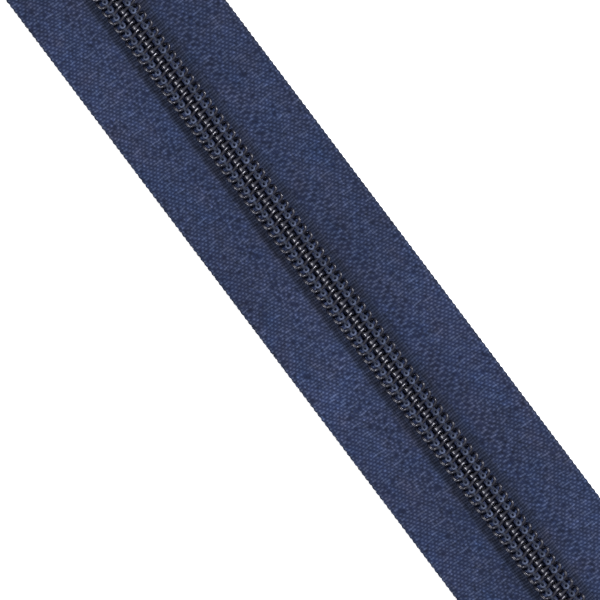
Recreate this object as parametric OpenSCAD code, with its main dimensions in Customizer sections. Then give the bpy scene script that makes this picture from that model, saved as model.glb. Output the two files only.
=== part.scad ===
// Closed-end coil zipper, coil side up, lying flat with the slider at the top end.
// +X runs along the chain to the top end, +Y is the left tape, +Z is up.
// The origin is under the middle of the whole zipper, on the surface it lies on.

/* [Chain] */
// Distance between neighbouring turns of one coil
pitch = 1.64; // [1.5:0.01:1.8]
// Number of turns in each coil
turns = 108; // [40:1:140]
// Overall width of the closed chain, over both outer bends
chain_w = 6.1; // [5.8:0.1:6.4]
// Diameter of the nylon monofilament along the coil's legs
wire_d = 0.56; // [0.5:0.01:0.6]
// Height between the centres of the upper and the lower legs
leg_gap = 1.58; // [1.4:0.01:1.7]
// Width of the flattened head at the tip of each turn, which locks between its neighbours
head_w = 0.84; // [0.8:0.01:0.88]
// How far each head reaches past the centre line
head_reach = 0.65; // [0.5:0.01:0.7]
// Diameter of the filler cord inside each coil
cord_d = 0.94; // [0.7:0.01:0.96]
// Thickness of the sewing threads
thread_d = 0.22; // [0.15:0.01:0.25]
// Distance of each row of stitches from the centre line
stitch_y = 1.5; // [1.3:0.05:1.7]

/* [Tapes] */
// Length of both tapes
tape_len = 210; // [120:1:260]
// Width over both tapes of the closed zipper
tapes_w = 29; // [27:0.5:32]
// Thickness of the sewing margin
tape_t = 0.55; // [0.5:0.01:0.7]
// Distance from the centre line at which the sewing margin starts
margin_y = 5; // [4.6:0.1:6]
// Tape left free past the chain at the top end
top_tail = 15; // [10:1:30]

/* [Slider] */
// Length of the slider body
slider_len = 12; // [11:0.5:13]
// Thickness of the slider's two plates
plate_t = 0.9; // [0.8:0.05:1.2]
// Thickness of the slider's side flanges
flange_t = 0.6; // [0.5:0.05:0.8]
// How far the diamond spreads each half of the chain
spread = 1.7; // [1.6:0.05:1.8]
// Width of the cap over the pull tab's bar
cap_w = 2.8; // [2.4:0.1:3]

/* [Pull tab] */
// Reach of the pull tab from its hinge bar
tab_len = 27.5; // [20:0.5:28]
// Width of the pull tab's grip
tab_w = 6.4; // [6:0.1:8]
// Thickness of the pull tab
tab_t = 0.9; // [0.7:0.05:1]
// Slope of the resting pull tab, down to the chain
tab_slope = 3.2; // [3:0.1:3.4]

/* [Hidden] */
$fn = 32;

// Heights, from the surface up
tape_z = 1.3;                                // underside of the tapes
bed_t = tape_t - 0.05;                       // tape under the coil, pressed by the sewing
coil_z = tape_z + bed_t + 0.02 + (leg_gap + wire_d + 0.04) / 2;  // middle of the coil's height
coil_top = coil_z + (leg_gap + wire_d) / 2;
channel_top = coil_top + 0.36;
plate_top = channel_top + 1;

// Coil
half_chain = chain_w / 2;
head_h = wire_d + 0.04;                      // thickness of the filament in the head
head_ro = (leg_gap + head_h) / 2;
head_ri = (leg_gap - head_h) / 2;
bulge_ro = head_ro + 0.02;
bulge_ri = head_ri + 0.13;
bulge_angle = 60;
bulge_reach = 2;                             // longer than the bend's radius
head_y = bulge_ro - head_reach;              // centre of the head's bend
heel_d = wire_d - 0.04;                      // the filament thins where it bends back
heel_r = sqrt(pitch * pitch + leg_gap * leg_gap) / 2;
heel_y = half_chain - heel_r - heel_d / 2;   // centre of the outer bend
heel_tilt = atan2(leg_gap, pitch);
lap = 0.03;                                  // how far each bend reaches into its leg

// Places along the chain
tape_end = tape_len / 2;
stop_x = tape_end - top_tail;                // far end of the top stops
stop_len = 2.4;
last_turn = stop_x - stop_len - 1.6;
first_turn = last_turn - (turns - 1) * pitch;
inner_y = 0.75;                              // inner edge of each tape from the centre line
outer_y = tapes_w / 2;
cord_y = stitch_y - 0.15;
strand_end = 0.8;                            // cords and threads past the first and last turn
clip_r = 0.4;                                // rounding of the metal clips below the tapes
clip_gap = 0.02;                             // between a clip and the tape it holds
stop_y = 0.95;                               // roundings of the top stops from the centre line
stop_w = 2.3;

// Slider, which rests against the top stops
slider_front = stop_x - stop_len - 0.4;
slider_rear = slider_front - slider_len;
spread_x = slider_rear + 3;                  // the halves run together behind this
spread_len = 8;
side_gap = 0.2;
diamond_gap = 0.12;
corner_r = 2;
notch_r = 1.7;                               // notch between the shoulders
notch_x = slider_front + 1.1;
bar_x = slider_front - 5.2;                  // hinge bar of the pull tab
bar_z = plate_top + 1;
bar_d = 1.1;
cap_rear = slider_rear + 0.7;
cap_front = slider_front - 0.6;
cap_base = plate_top + 0.02;
cap_top = plate_top + 3.2;
cap_t = 0.65;
cap_bend = 1.6;                              // outer radius of the cap's bends
lug_t = 0.8;                                 // lugs on the body that hold the cap
lug_w = cap_w - 0.8;
rear_lug_x = cap_rear + 2.2;
front_lug_x = cap_front - 1.75;

// Lock pawl, whose tooth stands between two turns of the left coil, inside the stitches
tooth_x = first_turn + (floor((slider_rear + 2.2 - first_turn) / pitch) + 0.45) * pitch;
tooth_y = 0.71;
tooth_t = 0.46;
tooth_w = 0.34;
tooth_z = coil_top - 0.36;
leaf_t = 0.3;
leaf_z = bar_z + bar_d / 2 + 0.06;

// Pull tab, whose eye goes around the cap
eye_w = cap_w + 0.6;
arm_w = 1.1;
neck_len = 8;
shoulder_x = 11.5;                           // where the grip has its full width
eye_len = 7;
grip_w = tab_w - 2.4;                        // shallow panel for the fingers
panel_t = 0.2;
panel_x = 12.5;

function smooth(t) = t <= 0 ? 0 : t >= 1 ? 1 : t * t * (3 - 2 * t);
// Sideways shift of each half of the chain, which the slider's diamond spreads
function splay(x) = spread * smooth((x - spread_x) / spread_len);
// Points along the chain where an outline needs them: its ends, and closely through the slider
function stations(a, b) = concat(
    [a], [for (x = [spread_x : 0.5 : spread_x + spread_len]) if (x > a && x < b) x], [b]);
function turn_x(k) = first_turn + k * pitch;
// How much a rounded corner takes off, at distance d from the end
function corner(d) = d >= corner_r ? 0 : corner_r - sqrt(corner_r * corner_r - pow(corner_r - d, 2));
// Half width of the slider at x
function slider_half(x) = half_chain + side_gap + flange_t + splay(x)
    - corner(x - slider_rear) - corner(slider_front - x);

// Strip in plan between two distances from the centre line, following the spread of the half
module strip(y0, y1, a, b) {
    xs = stations(a, b);
    n = len(xs) - 1;
    polygon(concat([for (x = xs) [x, y0 + splay(x)]], [for (i = [n : -1 : 0]) [xs[i], y1 + splay(xs[i])]]));
}

// Round strand along the chain at one distance from the centre line
module strand(y, z, d, a, b, sides = 12) {
    xs = stations(a, b);
    rings = len(xs);
    points = [for (x = xs, i = [0 : sides - 1])
        [x, y + splay(x) + d / 2 * cos(360 * i / sides), z + d / 2 * sin(360 * i / sides)]];
    walls = [for (r = [0 : rings - 2], i = [0 : sides - 1]) let (j = (i + 1) % sides)
        [r * sides + i, r * sides + j, (r + 1) * sides + j, (r + 1) * sides + i]];
    caps = [[for (i = [sides - 1 : -1 : 0]) i], [for (i = [0 : sides - 1]) (rings - 1) * sides + i]];
    polyhedron(points, concat(walls, caps));
}

// Turns a profile drawn in Y and Z into a bar along X
module along_x(x, len) {
    translate([x, 0, 0]) rotate([90, 0, 90]) linear_extrude(len) children();
}

// Turns a profile drawn in X and Z into a bar across Y, centred on the chain
module across_y(w) {
    translate([0, w / 2, 0]) rotate([90, 0, 0]) linear_extrude(w) children();
}

// Half ring of the head's bend, open towards the legs, in Y and Z
module head_ring(ro, ri) {
    difference() {
        circle(ro);
        circle(ri);
        translate([0, -2 * ro]) square([2 * ro, 4 * ro]);
    }
}

module head() {
    translate([-head_h / 2, 0, 0]) rotate([90, 0, 90]) linear_extrude(head_h) head_ring(head_ro, head_ri);
    translate([-head_w / 2, 0, 0]) rotate([90, 0, 90]) linear_extrude(head_w) intersection() {
        head_ring(bulge_ro, bulge_ri);
        polygon(bulge_reach * [[0, 0], [-1, tan(bulge_angle / 2)], [-1, -tan(bulge_angle / 2)]]);
    }
}

// One leg along +Y, from the head's bend to the outer bend
module leg(z, from_y, to_y) {
    translate([0, from_y - lap, z]) rotate([-90, 0, 0]) cylinder(d = wire_d, h = to_y - from_y + lap);
}

module turn(x, last) {
    shift = splay(x);
    next = splay(x + pitch / 2);
    before = splay(x - pitch / 2);
    translate([0, head_y + shift, 0]) head();
    leg(leg_gap / 2, head_y + shift, heel_y + next);
    leg(-leg_gap / 2, head_y + shift, heel_y + before);
    if (!last) {
        translate([pitch / 2, heel_y + next - lap, 0]) rotate([0, heel_tilt, 0])
            rotate_extrude(angle = 180) translate([heel_r, 0]) circle(d = heel_d, $fn = 16);
    }
}

module coil(phase) {
    for (k = [0 : turns - 1]) {
        x = turn_x(k) + phase;
        translate([x, 0, coil_z]) turn(x, k == turns - 1);
    }
}

// The right half of the chain is a mirror image; its turns lie half a pitch further on
module other_half() {
    mirror([0, 1, 0]) children();
}

module coil_left() {
    color([0.02, 0.02, 0.025]) coil(0);
}

module coil_right() {
    color([0.05, 0.05, 0.055]) other_half() coil(pitch / 2);
}

module tape() {
    translate([0, 0, tape_z]) {
        linear_extrude(bed_t) strip(inner_y, margin_y, -tape_end, tape_end);
        linear_extrude(tape_t) strip(margin_y, outer_y, -tape_end, tape_end);
    }
}

module tape_left() {
    color([0.13, 0.16, 0.28]) tape();
}

module tape_right() {
    color([0.13, 0.16, 0.28]) other_half() tape();
}

module filler_cord() {
    strand(cord_y, coil_z, cord_d, first_turn - strand_end, last_turn + strand_end - 0.2);
}

module filler_cord_left() {
    color([0.1, 0.12, 0.2]) filler_cord();
}

module filler_cord_right() {
    color([0.1, 0.12, 0.2]) other_half() filler_cord();
}

// One stitch over a leg: a flat bridge along X with a limb at each end, down through cord and tape
module stitch(place) {
    slope = atan2(splay(place + pitch / 2) - splay(place - pitch / 2), pitch);
    limb_h = coil_top - tape_z + thread_d;
    translate([place, stitch_y + splay(place), tape_z - thread_d / 2]) rotate([0, 0, slope])
        across_y(thread_d) difference() {
            translate([-(pitch + thread_d) / 2, 0]) square([pitch + thread_d, limb_h]);
            translate([-(pitch - thread_d) / 2, -1]) square([pitch - thread_d, limb_h + 1 - thread_d]);
        }
}

// Row of stitches over the straight chain in one piece, then stitch by stitch where the halves spread
module needle_thread(phase, stitches) {
    straight = floor((spread_x - first_turn) / pitch) - 1;
    limb_h = coil_top - tape_z + thread_d;
    x0 = first_turn + phase - (pitch + thread_d) / 2;
    translate([0, stitch_y, tape_z - thread_d / 2]) across_y(thread_d) difference() {
        translate([x0, 0]) square([straight * pitch + thread_d, limb_h]);
        for (k = [0 : straight - 1]) {
            translate([x0 + thread_d + k * pitch, -1]) square([pitch - thread_d, limb_h + 1 - thread_d]);
        }
    }
    for (k = [straight : stitches - 1]) stitch(turn_x(k) + phase);
}

module needle_thread_left() {
    color([0.22, 0.25, 0.38]) needle_thread(0, turns);
}

module needle_thread_right() {
    color([0.22, 0.25, 0.38]) other_half() needle_thread(pitch / 2, turns - 1);
}

module looper_thread() {
    strand(stitch_y, tape_z - thread_d / 2 - 0.01, thread_d,
        first_turn - strand_end, last_turn + strand_end, 8);
}

module looper_thread_left() {
    color([0.22, 0.25, 0.38]) looper_thread();
}

module looper_thread_right() {
    color([0.22, 0.25, 0.38]) other_half() looper_thread();
}

// Metal clip around the inner edge of one tape, ahead of the last turn
module top_stop() {
    shift = splay(stop_x);
    along_x(stop_x - stop_len, stop_len) translate([shift, 0]) difference() {
        hull() {
            for (y = [stop_y, stop_y + stop_w]) translate([y, 1.15]) circle(clip_r);
            for (y = [stop_y + 0.15, stop_y + stop_w - 0.35]) translate([y, coil_top - 0.9]) circle(0.6);
        }
        translate([inner_y - clip_gap, tape_z - clip_gap]) square([2 * stop_w, bed_t + 2 * clip_gap]);
    }
}

module top_stop_left() {
    color([0.2, 0.2, 0.21]) top_stop();
}

module top_stop_right() {
    color([0.2, 0.2, 0.21]) other_half() top_stop();
}

// Metal clip around both tapes below the first turn, with a web between the tapes
module bottom_stop() {
    half_w = half_chain + 0.2;
    color([0.2, 0.2, 0.21]) along_x(first_turn - 3.4, 2.4) difference() {
        hull() {
            for (s = [-1, 1]) {
                translate([s * (half_w - clip_r), 1.1]) circle(clip_r);
                translate([s * (half_w - 2 * clip_r), coil_top - 2 * clip_r]) circle(2 * clip_r);
            }
        }
        for (s = [-1, 1]) {
            translate([s * (half_w / 2 + inner_y - 0.12), tape_z + bed_t / 2])
                square([half_w, bed_t + 0.24], center = true);
        }
    }
}

// Outline of the slider's plates in plan, with a notch between its shoulders
module slider_outline() {
    xs = [for (i = [0 : 32]) slider_rear + slider_len * i / 32];
    difference() {
        polygon(concat([for (x = xs) [x, slider_half(x)]],
            [for (i = [32 : -1 : 0]) [xs[i], -slider_half(xs[i])]]));
        translate([notch_x, 0]) circle(notch_r);
    }
}

// Space in plan that the two halves of the chain run through
module chain_path() {
    xs = stations(slider_rear - 1, slider_front + 1);
    n = len(xs) - 1;
    polygon(concat([for (x = xs) [x, half_chain + side_gap + splay(x)]],
        [for (i = [n : -1 : 0]) [xs[i], -half_chain - side_gap - splay(xs[i])]]));
}

// Wedge that parts the heads, in plan
module diamond() {
    xs = [for (x = stations(slider_rear, slider_front)) if (splay(x) > head_reach + diamond_gap + 0.05) x];
    n = len(xs) - 1;
    difference() {
        polygon(concat([for (x = xs) [x, splay(x) - head_reach - diamond_gap]],
            [for (i = [n : -1 : 0]) [xs[i], head_reach + diamond_gap - splay(xs[i])]]));
        translate([notch_x, 0]) circle(notch_r);
    }
}

module slider_body() {
    color([0.12, 0.12, 0.125]) {
        linear_extrude(plate_t) slider_outline();
        difference() {
            translate([0, 0, channel_top]) linear_extrude(plate_top - channel_top) slider_outline();
            translate([tooth_x - 0.12, 0.85, channel_top + 0.5]) cube([1.1, 1.2, 3], center = true);
        }
        // flanges above the tapes, on both sides of the chain
        translate([0, 0, tape_z + tape_t + side_gap]) linear_extrude(channel_top - tape_z - tape_t - 0.1)
            difference() {
                slider_outline();
                chain_path();
            }
        translate([0, 0, plate_t / 2]) linear_extrude(plate_top - plate_t) diamond();
        translate([rear_lug_x, -lug_w / 2, plate_top - 0.1]) cube([lug_t, lug_w, 1.3]);
        translate([front_lug_x, -lug_w / 2, plate_top - 0.1]) cube([lug_t, lug_w, 1.6]);
    }
}

// Bridge over the hinge bar and the lock pawl, in X and Z
module cap_profile() {
    difference() {
        hull() {
            translate([cap_rear, cap_base]) square([cap_front - cap_rear, 0.5]);
            translate([cap_rear + cap_bend, cap_top - cap_bend]) circle(cap_bend);
            translate([cap_front - cap_bend, cap_top - cap_bend]) circle(cap_bend);
        }
        translate([cap_rear + cap_t, plate_top - 1])
            square([cap_front - cap_rear - 2 * cap_t, cap_top - plate_top + 1 - cap_t]);
    }
}

module slider_cap() {
    color([0.14, 0.14, 0.145]) across_y(cap_w) cap_profile();
}

// Bent leaf spring: held on the front lug, its tooth drops between two turns of the left coil
module lock_pawl() {
    leaf_end = cap_front - cap_t - 0.25;
    leaf_rear = tooth_x - tooth_t / 2;
    color([0.7, 0.7, 0.72]) {
        translate([leaf_rear, -0.7, leaf_z]) cube([leaf_end - leaf_rear, 1.9, leaf_t]);
        translate([leaf_rear, tooth_y - tooth_w / 2, tooth_z])
            cube([tooth_t, tooth_w, leaf_z - tooth_z + 0.1]);
    }
}

// Outline of the pull tab in plan, pointing along -X from its hinge bar
module tab_outline() {
    neck = eye_w / 2 + arm_w;
    grip = tab_w / 2;
    difference() {
        union() {
            translate([-neck_len, -neck]) square([neck_len, 2 * neck]);
            translate([-tab_len + grip, -grip]) square([tab_len - grip - shoulder_x + 0.5, tab_w]);
            translate([-tab_len + grip, 0]) circle(grip);
            polygon([[-shoulder_x, grip], [-shoulder_x, -grip],
                [-neck_len + 0.5, -neck], [-neck_len + 0.5, neck]]);
        }
        translate([-eye_len, -eye_w / 2]) square([eye_len + 2, eye_w]);
    }
}

module pull_tab() {
    panel_end = -tab_len + tab_w / 2;
    bar_len = eye_w + 2 * arm_w;
    color([0.16, 0.16, 0.165]) translate([bar_x, 0, bar_z]) rotate([0, -tab_slope, 0]) {
        difference() {
            translate([0, 0, -tab_t / 2]) linear_extrude(tab_t) tab_outline();
            translate([panel_end, -grip_w / 2, tab_t / 2 - panel_t])
                cube([-panel_end - panel_x, grip_w, 1]);
            translate([panel_end, 0, tab_t / 2 - panel_t]) cylinder(d = grip_w, h = 1);
        }
        // hinge bar between the two arms of the eye
        translate([0, bar_len / 2, 0]) rotate([90, 0, 0]) cylinder(d = bar_d, h = bar_len);
    }
}

tape_left();
tape_right();
coil_left();
coil_right();
filler_cord_left();
filler_cord_right();
needle_thread_left();
needle_thread_right();
looper_thread_left();
looper_thread_right();
top_stop_left();
top_stop_right();
bottom_stop();
slider_body();
slider_cap();
lock_pawl();
pull_tab();
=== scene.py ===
"""Looks of a closed-end coil zipper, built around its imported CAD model.

Shapes are worked out in millimetres, with +X along the chain, +Y to the left tape and +Z up, and turned into metres
when each mesh is made. The right half is a mirror image of the left in Y, with its turns half a pitch further on.
"""
import math

import bmesh
import bpy
import numpy as np
from mathutils import Matrix, Vector


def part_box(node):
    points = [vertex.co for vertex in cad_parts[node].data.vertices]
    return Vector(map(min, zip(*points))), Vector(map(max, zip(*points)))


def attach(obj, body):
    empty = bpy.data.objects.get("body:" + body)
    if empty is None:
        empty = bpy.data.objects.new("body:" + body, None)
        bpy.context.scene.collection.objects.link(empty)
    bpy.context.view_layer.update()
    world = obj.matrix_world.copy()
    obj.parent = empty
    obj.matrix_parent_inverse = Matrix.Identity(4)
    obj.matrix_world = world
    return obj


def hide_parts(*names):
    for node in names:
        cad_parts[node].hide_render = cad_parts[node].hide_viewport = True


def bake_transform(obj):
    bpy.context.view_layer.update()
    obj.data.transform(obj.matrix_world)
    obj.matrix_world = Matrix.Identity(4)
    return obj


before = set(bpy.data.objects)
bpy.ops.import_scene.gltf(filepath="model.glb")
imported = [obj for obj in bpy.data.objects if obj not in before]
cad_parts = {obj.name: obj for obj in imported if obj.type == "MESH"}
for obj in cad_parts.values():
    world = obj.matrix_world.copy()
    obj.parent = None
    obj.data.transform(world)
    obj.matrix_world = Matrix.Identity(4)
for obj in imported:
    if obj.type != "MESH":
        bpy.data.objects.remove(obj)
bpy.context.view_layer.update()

MM = 0.001
SIDES = ("left", "right")


def box_mm(node):
    """Lowest and highest corner of a CAD node in mm."""
    low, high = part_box(node)
    return np.array(low) / MM, np.array(high) / MM


# The chain's measures in mm, as in the CAD model
PITCH = 1.64
TURNS = 108
WIRE_R = 0.28
HEAD_R = 0.42
LEG_Z = 0.79      # height of the upper legs above the coil's middle
SPREAD = 1.7      # how far the slider's diamond spreads each half
SPREAD_LEN = 8.0
SPREAD_GAP = 3.0  # from the slider's rear to where the spreading starts
TAPE_BED = 0.5    # from the tape's underside to the level that the coil rests on
STITCH_Y = 1.5
CORD_Y = 1.35
CORD_R = 0.45
STRAND_END = 0.8  # how far the filler cords stand out beyond the end turns

coil_low, coil_high = box_mm("coil_left")
tape_low, tape_high = box_mm("tape_left")
slider_rear = box_mm("slider_body")[0][0]
FIRST = coil_low[0] + HEAD_R
COIL_Z = (coil_low[2] + coil_high[2]) / 2
TAPE_Z = tape_low[2]
BED_Z = TAPE_Z + TAPE_BED
INNER_Y = tape_low[1]
OUTER_Y = tape_high[1] - SPREAD
SPREAD_X = slider_rear + SPREAD_GAP


def smooth(t):
    """0 below 0, 1 above 1, and an even rise between."""
    t = np.clip(t, 0.0, 1.0)
    return t * t * (3 - 2 * t)


def splay(x):
    """Sideways shift of each half of the chain, which the slider's diamond spreads."""
    return SPREAD * smooth((x - SPREAD_X) / SPREAD_LEN)


def window(y, low, high, soft):
    """1 between low and high, falling to 0 over soft on each side."""
    return smooth((y - low) / soft + 0.5) * smooth((high - y) / soft + 0.5)


# Camera and light, in metres
CAMERA_AIM = (-0.0137, 0.0053, 0.00185)
CAMERA_RIGHT = (-0.601, -0.799, 0)
CAMERA_UP = (0.799, -0.601, 0)
CAMERA_DISTANCE = 1.5
VIEW_WIDTH = 0.1
SENSOR_WIDTH = 36  # in mm
LIGHT_AIM = (-0.014, 0, 0)
WORLD_LIGHT = 0.3
GLOW = 0.35        # of the floor beside the zipper, which begins and is full this far from the centre line
GLOW_START, GLOW_FULL = 0.0140, 0.0150


def camera():
    """Looks straight down on the closed chain, which runs from the top left to the bottom right."""
    aim = Vector(CAMERA_AIM)
    right = Vector(CAMERA_RIGHT).normalized()
    up = Vector(CAMERA_UP).normalized()
    data = bpy.data.cameras.new("camera")
    data.sensor_width = SENSOR_WIDTH
    data.lens = SENSOR_WIDTH * CAMERA_DISTANCE / VIEW_WIDTH
    data.clip_start, data.clip_end = 0.05, 10
    cam = bpy.data.objects.new("camera", data)
    turn = Matrix((right, up, right.cross(up))).transposed().to_4x4()
    cam.matrix_world = Matrix.Translation(aim + Vector((0, 0, CAMERA_DISTANCE))) @ turn
    bpy.context.scene.collection.objects.link(cam)
    bpy.context.scene.camera = cam


def area_light(name, place, size, power):
    """A round lamp pointing at LIGHT_AIM. place is measured from there."""
    data = bpy.data.lights.new(name, "AREA")
    data.shape = "DISK"
    data.size = size
    data.energy = power
    lamp = bpy.data.objects.new(name, data)
    aim = Vector(LIGHT_AIM)
    lamp.location = aim + Vector(place)
    lamp.rotation_euler = (aim - lamp.location).to_track_quat("-Z", "Y").to_euler()
    lamp.visible_camera = False
    bpy.context.scene.collection.objects.link(lamp)


def studio():
    """White surroundings and three soft lamps."""
    scene = bpy.context.scene
    scene.view_settings.view_transform = "Standard"
    world = bpy.data.worlds.new("studio")
    world.use_nodes = True
    background = world.node_tree.nodes["Background"]
    background.inputs["Color"].default_value = (1, 1, 1, 1)
    background.inputs["Strength"].default_value = WORLD_LIGHT
    scene.world = world
    area_light("key", (0.04, -0.50, 0.62), 0.26, 8.0)
    area_light("fill", (0.0, 0.52, 0.62), 0.26, 5.0)
    area_light("top", (0.02, 0.0, 0.75), 1.3, 2.0)


# Materials


class Look:
    """A node material with one Principled shader. Its noise works on places in mm, its bumps in metres."""

    def __init__(self, name, **sockets):
        self.material = bpy.data.materials.new(name)
        self.material.use_nodes = True
        self.tree = self.material.node_tree
        self.shader = self.tree.nodes["Principled BSDF"]
        for socket, value in sockets.items():
            self.shader.inputs[socket.replace("_", " ")].default_value = value

    def node(self, kind, inputs=(), **props):
        """A shader node whose inputs are linked, or set where they are plain values."""
        made = self.tree.nodes.new("ShaderNode" + kind)
        for prop, value in props.items():
            setattr(made, prop, value)
        for socket, value in dict(inputs).items():
            target = made.inputs[socket]
            if isinstance(value, bpy.types.NodeSocket):
                self.tree.links.new(value, target)
            else:
                target.default_value = value
        return made

    def set(self, socket, value):
        """Links value to the Principled shader."""
        self.tree.links.new(value, self.shader.inputs[socket])

    def attribute(self, name, output="Vector"):
        return self.node("Attribute", attribute_name=name).outputs[output]

    def scaled(self, vector, scale):
        """vector multiplied by scale, axis by axis."""
        return self.node("VectorMath", {0: vector, 1: scale}, operation="MULTIPLY").outputs[0]

    def noise(self, vector, scale, detail=2.0, rough=0.5):
        made = self.node("TexNoise", {"Vector": vector, "Scale": scale, "Detail": detail, "Roughness": rough})
        return made.outputs["Fac"]

    def map(self, value, from_low, from_high, to_low, to_high):
        return self.node("MapRange", {"Value": value, "From Min": from_low, "From Max": from_high,
                                      "To Min": to_low, "To Max": to_high}).outputs["Result"]

    def math(self, operation, a, b=0.0):
        return self.node("Math", {0: a, 1: b}, operation=operation).outputs[0]

    def mix(self, factor, a, b, blend="MIX"):
        return self.node("Mix", {0: factor, 6: a, 7: b}, data_type="RGBA", blend_type=blend).outputs[2]

    def ramp(self, value, *stops):
        """A colour ramp through stops of (place, colour)."""
        made = self.node("ValToRGB", {"Fac": value})
        ramp = made.color_ramp
        while len(ramp.elements) < len(stops):
            ramp.elements.new(0.5)
        for element, (place, colour) in zip(ramp.elements, stops, strict=True):
            element.position = place
            element.color = (*colour, 1)
        return made.outputs["Color"]

    def bump(self, height, distance, strength=1.0):
        return self.node("Bump", {"Height": height, "Distance": distance, "Strength": strength}).outputs["Normal"]

    def grey(self, value):
        """A colour with value in all three channels."""
        return self.node("CombineXYZ", {0: value, 1: value, 2: value}).outputs[0]

    def place(self):
        """Position on the object in mm."""
        return self.scaled(self.node("TexCoord").outputs["Object"], (1000, 1000, 1000))


def cloth_look():
    """Woven navy polyester. The mesh says where the yarns lie, in cloth, weave and tone. Weave is partly the yarns' own
    tone and partly painted light and shade of the weave's relief; tone holds random unevenness, painted light under the
    coil and painted shade beside it.
    """
    look = Look("tape_cloth", Roughness=0.86, Sheen_Weight=0.03, Sheen_Roughness=0.45,
                Sheen_Tint=(0.5, 0.6, 1.0, 1), Specular_IOR_Level=0.12)
    cloth = look.attribute("cloth")
    weave = look.attribute("weave", "Fac")
    tone = look.attribute("tone", "Color")
    warp_fibres = look.noise(look.scaled(cloth, (1.6, 13, 1)), 1.0, 3, 0.6)
    weft_fibres = look.noise(look.scaled(cloth, (13, 1.6, 1)), 1.0, 3, 0.6)
    fibres = look.node("Mix", {0: weave, 2: warp_fibres, 3: weft_fibres}).outputs[0]
    yarn = look.ramp(weave, (0.0, (0.0035, 0.0055, 0.0187)), (0.5, (0.0163, 0.0235, 0.0553)),
                     (1.0, (0.0452, 0.0567, 0.1018)))
    fleck = look.map(fibres, 0.3, 0.72, 0.7, 1.3)
    colour = look.mix(1.0, look.mix(1.0, yarn, look.grey(fleck), "MULTIPLY"), tone, "MULTIPLY")
    look.set("Base Color", colour)
    look.set("Roughness", look.map(fibres, 0.2, 0.8, 0.75, 0.95))
    look.set("Normal", look.bump(fibres, 0.00004))
    return look.material


def thread_look(name, colour):
    """Twisted polyester sewing thread with fine fibres along it."""
    look = Look(name, Roughness=0.7, Sheen_Weight=0.04, Sheen_Roughness=0.4, Sheen_Tint=(0.6, 0.7, 1.0, 1),
                Specular_IOR_Level=0.2)
    place = look.attribute("strand")
    fibres = look.noise(look.scaled(place, (2.2, 16, 1)), 1.0, 3, 0.6)
    dark = tuple(0.55 * c for c in colour)
    light = tuple(1.35 * c for c in colour)
    # The third strand mark is painted shade, which darkens the thread where it dips or goes down between the legs
    shade = look.grey(look.node("SeparateXYZ", {0: place}).outputs["Z"])
    plies = look.ramp(fibres, (0.3, dark), (0.5, colour), (0.72, light))
    look.set("Base Color", look.mix(1.0, plies, shade, "MULTIPLY"))
    look.set("Roughness", look.map(fibres, 0.2, 0.8, 0.6, 0.85))
    look.set("Normal", look.bump(fibres, 0.00002))
    return look.material


def nylon_look():
    """Black monofilament: glossy, with faint drawing lines along it and a duller bloom here and there."""
    look = Look("coil_nylon", Roughness=0.2, Specular_IOR_Level=0.52, Specular_Tint=(0.87, 0.87, 0.96, 1))
    place = look.attribute("strand")
    lines = look.noise(look.scaled(place, (0.35, 14, 1)), 1.0, 2, 0.55)
    bloom = look.noise(look.place(), 1.4, 3, 0.6)
    look.set("Base Color", look.ramp(bloom, (0.35, (0.0055, 0.006, 0.011)), (0.7, (0.0105, 0.011, 0.019))))
    look.set("Roughness", look.math("ADD", look.map(bloom, 0.3, 0.7, 0.17, 0.3), look.map(lines, 0.3, 0.7, 0, 0.08)))
    look.set("Normal", look.bump(lines, 0.000012, 0.6))
    return look.material


def enamel_look(name, base=(0.011, 0.011, 0.013)):
    """Black baked enamel over die-cast zinc: orange peel, faint scuffs, and metal showing on the sharpest edges."""
    look = Look(name, Roughness=0.3, Coat_Weight=0.25, Coat_Roughness=0.18)
    place = look.place()
    scuffs = look.noise(look.scaled(place, (1.2, 3, 2)), 1.0, 5, 0.65)
    peel = look.noise(place, 2.6, 2, 0.5)
    edge = look.node("NewGeometry").outputs["Pointiness"]
    worn = look.math("MULTIPLY", look.map(edge, 0.54, 0.62, 0, 1), look.map(scuffs, 0.42, 0.6, 0.1, 1))
    light = tuple(1.6 * c for c in base)
    enamel = look.ramp(scuffs, (0.35, base), (0.75, light))
    look.set("Base Color", look.mix(worn, enamel, (0.36, 0.34, 0.31, 1)))
    look.set("Metallic", worn)
    look.set("Roughness", look.math("ADD", look.map(scuffs, 0.3, 0.75, 0.2, 0.46), look.map(peel, 0.3, 0.7, 0, 0.06)))
    look.set("Normal", look.bump(peel, 0.000015, 0.5))
    return look.material


def clip_look():
    """Blackened metal clip, rubbed brighter on its edges."""
    look = Look("stop_metal", Metallic=1.0, Roughness=0.4)
    place = look.place()
    brushed = look.noise(look.scaled(place, (1, 9, 6)), 1.2, 4, 0.6)
    edge = look.node("NewGeometry").outputs["Pointiness"]
    rubbed = look.math("MULTIPLY", look.map(edge, 0.52, 0.6, 0, 1), look.map(brushed, 0.35, 0.6, 0.2, 1))
    dark = look.ramp(brushed, (0.3, (0.055, 0.055, 0.06)), (0.7, (0.12, 0.118, 0.118)))
    look.set("Base Color", look.mix(rubbed, dark, (0.5, 0.48, 0.45, 1)))
    look.set("Roughness", look.map(brushed, 0.3, 0.7, 0.32, 0.52))
    look.set("Normal", look.bump(brushed, 0.00001, 0.5))
    return look.material


def spring_look():
    """Bright rolled spring strip."""
    look = Look("pawl_spring", Metallic=1.0, Roughness=0.28)
    rolled = look.noise(look.scaled(look.place(), (0.8, 12, 12)), 1.5, 4, 0.6)
    look.set("Base Color", look.ramp(rolled, (0.3, (0.42, 0.42, 0.43)), (0.7, (0.62, 0.62, 0.61))))
    look.set("Roughness", look.map(rolled, 0.3, 0.7, 0.2, 0.36))
    look.set("Normal", look.bump(rolled, 0.000008, 0.5))
    return look.material


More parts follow.
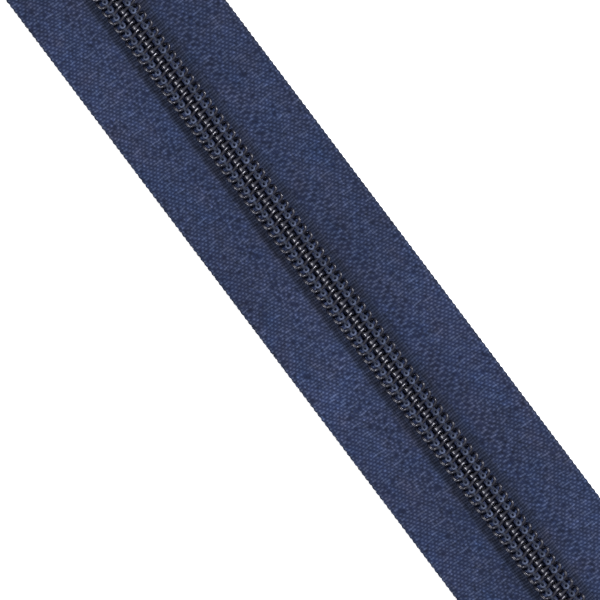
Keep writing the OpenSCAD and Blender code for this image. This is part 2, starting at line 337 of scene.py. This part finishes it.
def floor_look():
    """White paper. A faint glow beside the zipper keeps its own soft shadow as pale as in a light tent."""
    look = Look("floor_paper", Roughness=0.9, Specular_IOR_Level=0.1)
    place = look.node("TexCoord").outputs["Object"]
    grain = look.noise(place, 60, 4, 0.6)
    look.set("Base Color", look.ramp(grain, (0.3, (0.93, 0.93, 0.93)), (0.7, (0.95, 0.95, 0.95))))
    away = look.math("ABSOLUTE", look.node("SeparateXYZ", {0: place}).outputs["Y"])
    glow = look.map(away, GLOW_START, GLOW_FULL, 0.0, GLOW)
    look.shader.inputs["Emission Strength"].default_value = 1.0
    look.set("Emission Color", look.grey(glow))
    return look.material


# Meshes


class Shape:
    """Points in mm and faces, gathered from several sweeps, with one vector per point for the material."""

    def __init__(self):
        self.points, self.faces, self.marks, self.count = [], [], [], 0

    def add(self, points, faces, marks):
        """Takes in what sweep returns."""
        self.points.append(points)
        self.marks.append(marks)
        self.faces += [[self.count + i for i in face] for face in faces]
        self.count += len(points)


def piece(name, points, faces, material, side, vectors=(), values=(), colours=()):
    """A smooth mesh object from points in mm. vectors, values and colours are (name, one entry per point)."""
    if side == "right":
        points = points * np.array([1, -1, 1])
        faces = [face[::-1] for face in faces]
    mesh = bpy.data.meshes.new(name)
    mesh.from_pydata((points * MM).tolist(), [], faces)
    attributes = (("FLOAT_VECTOR", "vector", vectors), ("FLOAT", "value", values), ("FLOAT_COLOR", "color", colours))
    for kind, key, rows in attributes:
        for label, data in rows:
            mesh.attributes.new(label, kind, "POINT").data.foreach_set(key, np.asarray(data, np.float32).ravel())
    mesh.shade_smooth()
    mesh.materials.append(material)
    made = bpy.data.objects.new(name, mesh)
    bpy.context.scene.collection.objects.link(made)
    return made


def sweep(path, across, half_across, half_up, sides, closed=False, lobes=0.0, twist=0.0, shade=1.0, square=1.0):
    """Elliptic rings along a path. across is the direction of half_across, lobes is how much plies stand out, twist is
    their turn in radians per mm, and square below 1 flattens the rings' sides. Returns points, faces, and marks of
    (length along, place around, shade)."""
    path = np.asarray(path, float)
    count = len(path)
    if closed:
        tangent = np.roll(path, -1, 0) - np.roll(path, 1, 0)
    else:
        tangent = np.gradient(path, axis=0)
    tangent /= np.linalg.norm(tangent, axis=1)[:, None]
    across = np.broadcast_to(np.asarray(across, float), path.shape)
    a = across - (across * tangent).sum(1)[:, None] * tangent
    a /= np.linalg.norm(a, axis=1)[:, None]
    b = np.cross(tangent, a)
    step = np.linalg.norm(np.diff(path, axis=0), axis=1)
    along = np.concatenate([[0], np.cumsum(step)])
    angle = 2 * np.pi * np.arange(sides) / sides
    bulge = 1 + lobes * np.cos(2 * (angle[None, :] - twist * along[:, None]))
    ha = np.broadcast_to(half_across, (count,))[:, None]
    hb = np.broadcast_to(half_up, (count,))[:, None]
    power = np.broadcast_to(square, (count,))[:, None]
    cos, sin = (np.sign(f) * np.abs(f) ** power for f in (np.round(np.cos(angle), 9), np.round(np.sin(angle), 9)))
    sideways = (ha * cos * bulge)[..., None] * a[:, None, :]
    upward = (hb * sin * bulge)[..., None] * b[:, None, :]
    points = path[:, None, :] + sideways + upward
    faces = []
    for i in range(count if closed else count - 1):
        here, there = i * sides, (i + 1) % count * sides
        for j in range(sides):
            k = (j + 1) % sides
            faces.append([here + j, here + k, there + k, there + j])
    if not closed:
        faces.append(list(range(sides))[::-1])
        faces.append([(count - 1) * sides + j for j in range(sides)])
    around = np.abs(angle / np.pi - 1) * float(np.mean(ha)) * np.pi
    around = around[None, :] + 0.05 * twist * along[:, None]
    marks = np.stack(np.broadcast_arrays(along[:, None], around, np.broadcast_to(shade, (count,))[:, None]), -1)
    return points.reshape(-1, 3), faces, marks.reshape(-1, 3)


def spline(points, steps):
    """Catmull-Rom curve through rows of numbers, with so many steps from each row to the next."""
    points = np.asarray(points, float)
    padded = np.vstack([2 * points[0] - points[1], points, 2 * points[-1] - points[-2]])
    p0, p1, p2, p3 = padded[:-3], padded[1:-2], padded[2:-1], padded[3:]
    t = (np.arange(steps) / steps)[None, :, None]
    p0, p1, p2, p3 = (p[:, None, :] for p in (p0, p1, p2, p3))
    curve = 0.5 * (2 * p1 + (p2 - p0) * t + (2 * p0 - 5 * p1 + 4 * p2 - p3) * t**2 + (3 * p1 - p0 - 3 * p2 + p3) * t**3)
    return np.vstack([curve.reshape(-1, points.shape[1]), points[-1:]])


def spread_out(points):
    """Moves points of the straight half sideways as the slider's diamond does."""
    points = np.array(points, float)
    points[..., 1] += splay(points[..., 0])
    return points


# The two halves: where the filament and the stitches lie beside each head, in mm. Rows start with x, y and z from the
# head's middle at the centre line: round the head, out along the upper leg, and over the outer bend to the next head.
# The head's rows also give half width, half thickness and squareness.
HALVES = {
    "left": {
        "phase": 0.0,
        "stitch": 0.48,
        "head": ((-0.08, -0.12, -0.57, 0.37, 0.27, 0.75), (-0.08, -0.42, 0, 0.37, 0.26, 0.65),
                 (-0.04, -0.37, 0.40, 0.34, 0.27, 0.8), (-0.02, -0.18, 0.60, 0.33, 0.27, 0.8),
                 (-0.03, 0.14, 0.71, 0.31, 0.27, 0.9)),
        "out": ((-0.14, 0.46, 0.80), (-0.34, 1.10, 0.79), (-0.35, 1.62, 0.80), (-0.18, 2.08, 0.77), (-0.12, 2.32, 0.68),
                (0.04, 2.56, 0.64), (0.36, 2.68, 0.62), (0.68, 2.73, 0.56)),
        "back": ((0.90, 2.75, 0.26), (1.00, 2.75, -0.30), (1.14, 2.64, -0.60), (1.36, 2.25, -0.72), (1.52, 1.65, -0.79),
                 (1.60, 1.10, -0.79), (PITCH, 0.46, -0.79)),
    },
    "right": {
        "phase": PITCH / 2 - 0.17,
        "stitch": 0.67,
        "head": ((0, -0.12, -0.57, 0.37, 0.27, 0.75), (0, -0.38, 0, 0.40, 0.27, 0.6), (0, -0.24, 0.58, 0.45, 0.26, 0.5),
                 (0, 0.04, 0.75, 0.47, 0.24, 0.55)),
        "out": ((0.03, 0.50, 0.81), (0.09, 1.10, 0.79), (0.17, 1.65, 0.78), (0.25, 2.20, 0.79), (0.42, 2.56, 0.76),
                (0.70, 2.70, 0.74), (0.98, 2.73, 0.66)),
        "back": ((1.12, 2.75, 0.24), (1.18, 2.75, -0.30), (1.29, 2.64, -0.60), (1.42, 2.25, -0.72), (1.55, 1.65, -0.79),
                 (1.61, 1.10, -0.79), (PITCH, 0.46, -0.79)),
    },
}

COIL_SIDES = 14  # of the filament's cross-section
COIL_STEPS = 3   # from each row to the next
ROWS_CUT = 10    # rows of the last turn that are left out


def turn_points(half):
    """One turn: round the flattened head, out along the upper leg, over the outer bend and back along the lower leg.
    Each row is x, y, z, half width, half thickness and squareness."""
    return np.array(list(half["head"]) + [(*row, WIRE_R, WIRE_R, 1) for row in half["out"] + half["back"]])


def leg_x(side, y):
    """How far the upper leg leans along X at distance y."""
    rows = np.array(HALVES[side]["out"])
    return float(np.interp(y, rows[:, 1], rows[:, 0]))


def coil(side, material):
    """The whole filament of one half, which ends partway round its last turn."""
    half = HALVES[side]
    rows = np.tile(turn_points(half), (TURNS, 1, 1))
    rows[:, :, 0] += (FIRST + half["phase"] + PITCH * np.arange(TURNS))[:, None]
    rows[:, :, 2] += COIL_Z
    curve = spline(rows.reshape(-1, rows.shape[2])[:-ROWS_CUT], COIL_STEPS)
    path = spread_out(curve[:, :3])
    points, faces, marks = sweep(path, (1, 0, 0), curve[:, 3], curve[:, 4], COIL_SIDES, square=curve[:, 5])
    return piece("coil_filament_" + side, points, faces, material, side, vectors=[("strand", marks)])


CORD_SIDES = 16     # of the filler cord's rings
CORD_STEP = 0.2     # from one ring to the next, in mm
BRAID_TURN = 1.6    # length in which a strand goes a quarter of the way round, in mm
BRAID_DEPTH = 0.07  # share of the radius


def filler_cord(side, material):
    """The braided cord that runs inside the coil."""
    xs = np.arange(FIRST - STRAND_END, FIRST + (TURNS - 1) * PITCH + STRAND_END - CORD_STEP, CORD_STEP)
    path = spread_out(np.stack([xs, np.full_like(xs, CORD_Y), np.full_like(xs, COIL_Z)], 1))
    points, faces, marks = sweep(path, (0, 1, 0), CORD_R, CORD_R, CORD_SIDES)
    angle = np.tile(2 * np.pi * np.arange(CORD_SIDES) / CORD_SIDES, len(xs))
    lean = 2 * np.pi * np.repeat(xs, CORD_SIDES) / BRAID_TURN
    braid = np.cos(4 * angle + lean) * np.cos(4 * angle - lean)
    centre = np.repeat(path, CORD_SIDES, 0)
    points = centre + (points - centre) * (1 + BRAID_DEPTH * braid)[:, None]
    return piece("braided_cord_" + side, points, faces, material, side, vectors=[("strand", marks)])


# Sewing thread. Lengths are in mm, and each thread's half width and half thickness stand together
RING_R = 0.36        # of the loop that shows on the coil
RING_LOW = 0.58      # height of its low side above the coil's middle
RING_LENGTH = 2.58
RING_PLIES = 6       # ply ridges seen round it
RING_THREAD = (0.175, 0.165)
RING_DEPTH = 0.14    # how much its plies stand out, as a share of the radius
RIDE_R = 0.43        # from the leg's middle to that of the thread riding over it
LINK_THREAD = (0.2, 0.08)
LIMB_THREAD = (0.16, 0.15)
LIMB_X = 0.2         # from a ring's middle to where its thread goes down
# Painted shade on the threads that go down through the cord and the tape, and on the links between loops
HIDDEN_SHADE = 0.32
PLY_DEPTH = 0.12     # the same for the other threads
PLY_TWIST = 6.0      # in radians per mm
LOOPER_THREAD = (0.1, 0.11)
LOOPER_TWIST = 5.0
LOOPER_HALF = 0.27   # half width of a loop of chain stitch
LOOPER_REACH = 0.16  # how far it reaches through the next
PLACE_JITTER = 0.03  # of the loops on the coil, in mm
SIZE_JITTER = 0.05   # as a share


def stitch_count(side):
    """One stitch for each turn. The right half has one fewer."""
    return TURNS if side == "left" else TURNS - 1


def needle_thread(side, material, rng):
    """Loops of thread on the coil: each rides up over one leg, dips between the legs, and goes down through the
    cord and the tape. A short link over the leg joins it to the loop before."""
    shape = Shape()
    half = HALVES[side]
    round_loop = np.linspace(0, 2 * np.pi, 24, endpoint=False)
    ring_twist = 2 * np.pi * RING_PLIES / RING_LENGTH / 2
    previous = None
    for k in range(stitch_count(side)):
        jitter = rng.normal(0, 1, 5)
        centre_x = FIRST + half["phase"] + k * PITCH + half["stitch"] + PLACE_JITTER * jitter[0]
        centre_y = STITCH_Y + PLACE_JITTER * jitter[1]
        rx, ry = RING_R * (1 + SIZE_JITTER * jitter[2]), RING_R * (1 + SIZE_JITTER * jitter[3])
        leg = FIRST + half["phase"] + k * PITCH + leg_x(side, centre_y)
        aside = min(RIDE_R, abs(centre_x - rx - leg))
        over = COIL_Z + LEG_Z + math.sqrt(max(RIDE_R**2 - aside**2, 0.02))
        low = COIL_Z + RING_LOW
        x = centre_x + rx * np.cos(round_loop)
        y = centre_y + ry * np.sin(round_loop)
        z = low + (over - low) * (0.5 - 0.5 * np.cos(round_loop))
        loop = spread_out(np.stack([x, y, z], 1))
        # Painted shade: each loop is darker where it dips between the legs and lighter where it rides over one, with a
        # little random tone per stitch
        shade = (0.8 + 0.1 * jitter[4]) * (0.68 - 0.36 * np.cos(round_loop))  # darker where it dips
        shape.add(*sweep(loop, (0, 0, 1), *RING_THREAD, 10, True, RING_DEPTH, ring_twist, shade))
        down_x = centre_x + LIMB_X
        limb = [(centre_x + 0.8 * rx + 0.05, centre_y, low), (down_x, centre_y, low - 0.25), (down_x, centre_y, COIL_Z),
                (down_x, centre_y, BED_Z), (down_x, centre_y, TAPE_Z)]
        plies = (8, False, PLY_DEPTH, PLY_TWIST, HIDDEN_SHADE)
        shape.add(*sweep(spread_out(spline(limb, 4)), (0, 1, 0), *LIMB_THREAD, *plies))
        if previous is not None:
            link = [(previous + rx - 0.02, centre_y, low), (leg - 0.36, centre_y, COIL_Z + 0.93),
                    (leg, centre_y, COIL_Z + LEG_Z + WIRE_R + 0.07), (centre_x - rx, centre_y, over - 0.05)]
            shape.add(*sweep(spread_out(spline(link, 4)), (0, 1, 0), *LINK_THREAD, *plies))
        previous = centre_x
    return piece("stitch_loops_" + side, np.vstack(shape.points), shape.faces, material, side,
                 vectors=[("strand", np.vstack(shape.marks))])


def looper_thread(side, material, rng):
    """Chain of long loops under the tape, each reaching through the next."""
    shape = Shape()
    half = HALVES[side]
    turn = np.linspace(0, 2 * np.pi, 20, endpoint=False)
    for k in range(stitch_count(side)):
        jitter = rng.normal(0, 1, 2)
        centre = FIRST + half["phase"] + k * PITCH + half["stitch"] + LIMB_X
        x = centre - PITCH / 2 + (PITCH / 2 + LOOPER_REACH) * np.cos(turn)
        pinch = 0.6 + 0.4 * np.cos(turn)
        y = STITCH_Y + 0.02 * jitter[0] + LOOPER_HALF * np.sin(turn) * pinch
        z = TAPE_Z - 0.13 - 0.07 * np.cos(turn) + 0.01 * jitter[1]
        loop = spread_out(np.stack([x, y, z], 1))
        shape.add(*sweep(loop, (0, 0, 1), *LOOPER_THREAD, 8, True, PLY_DEPTH, LOOPER_TWIST))
    return piece("chain_stitch_" + side, np.vstack(shape.points), shape.faces, material, side,
                 vectors=[("strand", np.vstack(shape.marks))])


# The tapes. Picks of weft run across them and yarns of warp along them. Places across a tape are in mm from the
# chain's centre line
TAPE_LEN = 210
PICKS = 415
PICK = TAPE_LEN / (PICKS - 1)
YARNS = 38
EDGE_Y = INNER_Y - 0.3
OUTER = {"left": OUTER_Y, "right": OUTER_Y + 0.45}
TWILL = (0, 2, 1, 3)      # step of each of four picks in the broken twill
COMB = (2.4, 4.5)         # rib beside the chain, all weft
TWILL_BAND = (6.0, 6.9)
PAIRED_BAND = (6.9, 7.9)
FLOAT_BANDS = ((8.5, 9.6, 2), (9.3, 11.1, 0), (11.3, 12.6, 3))  # from, to, and which pick of four floats
SELVAGE_Y = 13.5
MISTAKES = 0.035          # share of crossings that are turned over
RELIEF = (-1.0, (-0.3, 1.0), (-0.5, 0.1, 0.9), (-0.1, -0.3, -0.5))  # heights, as weave_grid takes them
YARN_TONE_AND_SHADE = (0.08, (0.22, 1.0), (0.15, 0.58, 0.8), (0.15, 0.26, 0.35))  # places on the cloth's colour ramp: the yarns' own tone, with painted shade in the holes and low places and painted light on the raised floats
RIDGE = 0.045             # of relief 1, in mm
UNEVEN = 0.2              # how much crossings differ, in height and in tone
ROUND_EDGE = 0.9          # width of the rounded outer edge
LOOP_DEPTH = 0.13         # of the edge between two loops of weft
WAVES = ((0.05, 61, 40, 0.3), (0.035, 37, -22, 1.9), (0.02, 17, 15, 4.1))  # height, lengths in x and y, phase
COIL_BAND = (0.8, 2.6)    # where painted light lightens the cloth under the coil, by the factor below
COIL_PAINTED_LIGHT = 1.1
SHADE_BAND = (2.8, 4.15)  # where painted shade darkens the cloth beside the coil, by SHADE
SHADE = {"left": 0.42, "right": 0.32}
UNDER_STEP = 3            # columns of the upper side to each one of the underside
SKIN = 0.03               # how far the cloth's mean surfaces lie inside the CAD tape


def weft_over(y, rng):
    """Whether each pick of weft lies over each warp yarn: plain weave with bands of broken twill, of paired picks and
    of floats, a rib beside the chain and a selvage. Rows are yarns, columns are picks."""
    yarn = np.arange(len(y))[:, None]
    pick = np.arange(PICKS)[None, :]
    plain = (yarn + pick) % 2 == 0
    paired = (yarn + pick // 2) % 2 == 0
    twill = (yarn + np.array(TWILL)[pick % 4]) % 4 < 2
    y = y[:, None]
    in_twill = (y > TWILL_BAND[0]) & (y < TWILL_BAND[1])
    in_pairs = (y > PAIRED_BAND[0]) & (y < PAIRED_BAND[1])
    over = np.where(in_twill, twill, np.where(in_pairs, paired, plain))
    for low, high, column in FLOAT_BANDS:
        inside = (y > low) & (y < high)
        over = np.where(inside, plain, over)
        over = np.where(inside & (pick % 4 == column) & ((yarn + pick // 4) % 3 > 0), True, over)
    over = np.where((y > COMB[0]) & (y < COMB[1]), True, over)
    over = np.where(y > SELVAGE_Y, (pick // 2) % 2 == yarn % 2, over)
    return over ^ ((rng.random(over.shape) < MISTAKES) & (y > COMB[1]))


def weave_grid(over, hole, crossing, beside, between):
    """A value for every half pick and half yarn: in the holes, where the warp or the weft lies on top, beside two
    crossings of one pick, and between two picks. The last three go by how many of the neighbours are weft."""
    o = over.T.astype(int)
    grid = np.full((2 * o.shape[0] - 1, 2 * o.shape[1]), float(hole))
    grid[::2, 1::2] = np.choose(o, crossing)
    grid[::2, ::2] = np.choose(np.concatenate([o[:, :1], o[:, :-1]], 1) + o, beside)
    grid[1::2, 1::2] = np.choose(o[:-1] + o[1:], between)
    return grid


def drift(rng, rows, columns, step):
    """Slow unevenness: random numbers on a coarse grid, smoothed over step points."""
    coarse = rng.normal(0, 1, (rows // step + 3, columns // step + 3))
    r, c = np.arange(rows) / step, np.arange(columns) / step
    first = np.stack([np.interp(c, np.arange(coarse.shape[1]), line) for line in coarse])
    return np.stack([np.interp(r, np.arange(first.shape[0]), line) for line in first.T], 1)


def slab_faces(rows, n, m):
    """Faces of a slab whose points are rows of n above, then rows of m below."""
    start = rows * n
    faces = []
    for i in range(rows - 1):
        a, b = i * n, (i + 1) * n
        faces += [[a + j, b + j, b + j + 1, a + j + 1] for j in range(n - 1)]
        c, d = start + i * m, start + (i + 1) * m
        faces += [[c + j, c + j + 1, d + j + 1, d + j] for j in range(m - 1)]
        faces.append([a, c, d, b])
        faces.append([a + n - 1, b + n - 1, d + m - 1, c + m - 1])
    for i, turned in ((0, False), (rows - 1, True)):
        rim = [i * n + j for j in range(n)] + [start + i * m + j for j in range(m - 1, -1, -1)]
        faces.append(rim[::-1] if turned else rim)
    return faces


def tape(side, material, rng):
    """The woven tape: a grid of half picks and half yarns on top, with fewer columns on the underside."""
    outer_y = OUTER[side]
    rows, columns = 2 * PICKS - 1, 2 * YARNS
    xs = np.linspace(tape_low[0], tape_high[0], rows)
    ys = np.linspace(EDGE_Y, outer_y, columns)
    x, y = np.meshgrid(xs, ys, indexing="ij")
    over = weft_over(ys[1::2], rng)
    height = weave_grid(over, *RELIEF)
    # Brightness of the weave: the yarns' own tone, with painted shade where the weave sinks and painted light where it
    # stands up
    weave = weave_grid(over, *YARN_TONE_AND_SHADE)
    cell = rng.normal(0, 1, (PICKS, YARNS))
    cell = 0.85 * cell + 0.2 * np.roll(cell, 1, 1)  # each crossing a little like its neighbour
    cells = np.repeat(np.repeat(cell, 2, 0)[:rows], 2, 1)
    raised = RIDGE * height * (1 + UNEVEN * cells).clip(0.4, 1.7)

    # Where the points lie: a looped outer edge, yarns and picks that wander, soft waves, and lower under the coil
    edge = smooth((y - outer_y + ROUND_EDGE) / ROUND_EDGE)
    loops = 0.5 - 0.5 * np.cos(np.pi * x / PICK)
    y_out = y - LOOP_DEPTH * edge**2 * (1 - loops)
    y_out = y_out + 0.05 * drift(rng, rows, columns, 3) * (1 - edge) * smooth((y - EDGE_Y) / 0.8)
    x_out = x + 0.07 * np.sin(2 * np.pi * y / 5.2 + 1)
    x_out += (0.05 * drift(rng, rows, columns, 40) + 0.045 * drift(rng, rows, columns, 3)) * (1 - edge)
    waves = sum(a * np.sin(2 * np.pi * (x / lx + y / ly) + p) for a, lx, ly, p in WAVES)
    lift = smooth((y - 5) / 3)
    bed = 0.05 * (1 - smooth((y - 4.2) / 0.8))
    inner = smooth((EDGE_Y + 0.4 - y) / 0.4)
    top = tape_high[2] - SKIN - bed + raised + waves * lift - 0.14 * edge**2 - 0.03 * inner

    # How the cloth's colour is multiplied, per channel, with painted light under the coil and painted shade beside it
    mottle = 0.12 * drift(rng, rows, columns, 60) + 0.02 * drift(rng, rows, columns, 16)
    coiled = window(x, FIRST, FIRST + TURNS * PITCH, 0.8)
    # Painted light: the cloth under the coil is lightened where the coil lies
    tone = np.exp(UNEVEN * cells + mottle) * (1 + COIL_PAINTED_LIGHT * coiled * window(y, *COIL_BAND, 0.6))
    hue = 0.065 * drift(rng, rows, columns, 10)
    # Painted shade: the cloth beside the coil is darkened where the coil lies, more on the left half
    painted_shade = SHADE[side] * coiled * window(y, *SHADE_BAND, 1.6)
    colour = np.stack([tone * np.exp(hue) * (1 - painted_shade) * (1 + 0.16 * edge),
                       tone * (1 - 1.06 * painted_shade) * (1 + 0.12 * edge),
                       tone * np.exp(-0.6 * hue) * (1 - 1.15 * painted_shade), np.ones_like(x)], -1)

    under = np.union1d(np.arange(0, columns, UNDER_STEP), columns - 1)
    bottom = TAPE_Z + SKIN - 0.5 * raised[:, under] + (waves * lift)[:, under] + 0.08 * edge[:, under]
    upper = np.stack([x_out, y_out, top], -1)
    lower = np.stack([x_out[:, under], y_out[:, under], bottom], -1)
    points = np.vstack([upper.reshape(-1, 3), lower.reshape(-1, 3)])
    points[:, 0] = points[:, 0].clip(tape_low[0], tape_high[0])
    points = spread_out(points)
    faces = slab_faces(rows, columns, len(under))

    def both(values):
        """The upper side's values, then those of the underside."""
        return np.vstack([values.reshape(rows * columns, -1), values[:, under].reshape(rows * len(under), -1)])

    flat = np.stack([x, y, np.zeros_like(x)], -1)
    return piece("woven_tape_" + side, points, faces, material, side, vectors=[("cloth", both(flat))],
                 values=[("weave", both(weave))], colours=[("tone", both(colour))])


def rounded(name, node, voxel, passes, material):
    """A CAD node's solid, skinned afresh in voxels of so many mm and its edges rounded in so many passes."""
    solid = bmesh.new()
    solid.from_mesh(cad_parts[node].data)
    bmesh.ops.remove_doubles(solid, verts=solid.verts, dist=1e-7)
    mesh = bpy.data.meshes.new(name)
    solid.to_mesh(mesh)
    solid.free()
    obj = bpy.data.objects.new(name, mesh)
    bpy.context.scene.collection.objects.link(obj)
    skin = obj.modifiers.new("skin", "REMESH")
    skin.mode = "VOXEL"
    skin.voxel_size = voxel * MM
    soften = obj.modifiers.new("soften", "SMOOTH")
    soften.factor = 0.5
    soften.iterations = passes
    graph = bpy.context.evaluated_depsgraph_get()
    mesh = bpy.data.meshes.new_from_object(obj.evaluated_get(graph), preserve_all_data_layers=False, depsgraph=graph)
    obj.modifiers.clear()
    obj.data = mesh
    mesh.shade_smooth()
    mesh.materials.append(material)
    return obj


FLOOR_HALF = 1.6  # in metres


def floor():
    """A square of white paper, which the zipper lies on."""
    half = FLOOR_HALF
    mesh = bpy.data.meshes.new("floor")
    mesh.from_pydata([(-half, -half, 0), (half, -half, 0), (half, half, 0), (-half, half, 0)], [], [(0, 1, 2, 3)])
    mesh.materials.append(floor_look())
    obj = bpy.data.objects.new("floor", mesh)
    bpy.context.scene.collection.objects.link(obj)


camera()
studio()
floor()

# All pieces; the clips and the slider's parts go with the bodies they belong to
cloth = cloth_look()
nylon = nylon_look()
needle_look = thread_look("stitch_thread", (0.066, 0.083, 0.142))
looper_look = thread_look("looper_thread", (0.04, 0.05, 0.105))
cord_look = thread_look("cord_braid", (0.021, 0.029, 0.072))
clip = clip_look()

SEED = 41
for number, side in enumerate(SIDES):
    rng = np.random.default_rng(SEED + number)
    made = [
        (tape(side, cloth, rng), "tape", "tape"),
        (coil(side, nylon), "coil", "coil"),
        (filler_cord(side, cord_look), "filler_cord", "filler_cord"),
        (needle_thread(side, needle_look, rng), "needle_thread", "needle_thread"),
        (looper_thread(side, looper_look, rng), "looper_thread", "looper_thread"),
    ]
    for obj, node, slot in made:
        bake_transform(obj)
        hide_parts(node + "_" + side)
    stop = rounded("top_clip_" + side, "top_stop_" + side, 0.07, 5, clip)
    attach(stop, side + "_half")
    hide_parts("top_stop_" + side)

for name, node, body, material, voxel, passes in (
    ("bottom_clip", "bottom_stop", "chain_foot", clip, 0.07, 5),
    ("slider_casting", "slider_body", "slider", enamel_look("slider_enamel"), 0.1, 5),
    ("cap", "slider_cap", "slider", enamel_look("cap_enamel", (0.012, 0.012, 0.014)), 0.07, 6),
    ("pawl", "lock_pawl", "lock", spring_look(), 0.04, 4),
    ("pull", "pull_tab", "pull", enamel_look("pull_enamel", (0.012, 0.012, 0.014)), 0.1, 5),
):
    obj = rounded(name, node, voxel, passes, material)
    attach(obj, body)
    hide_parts(node)
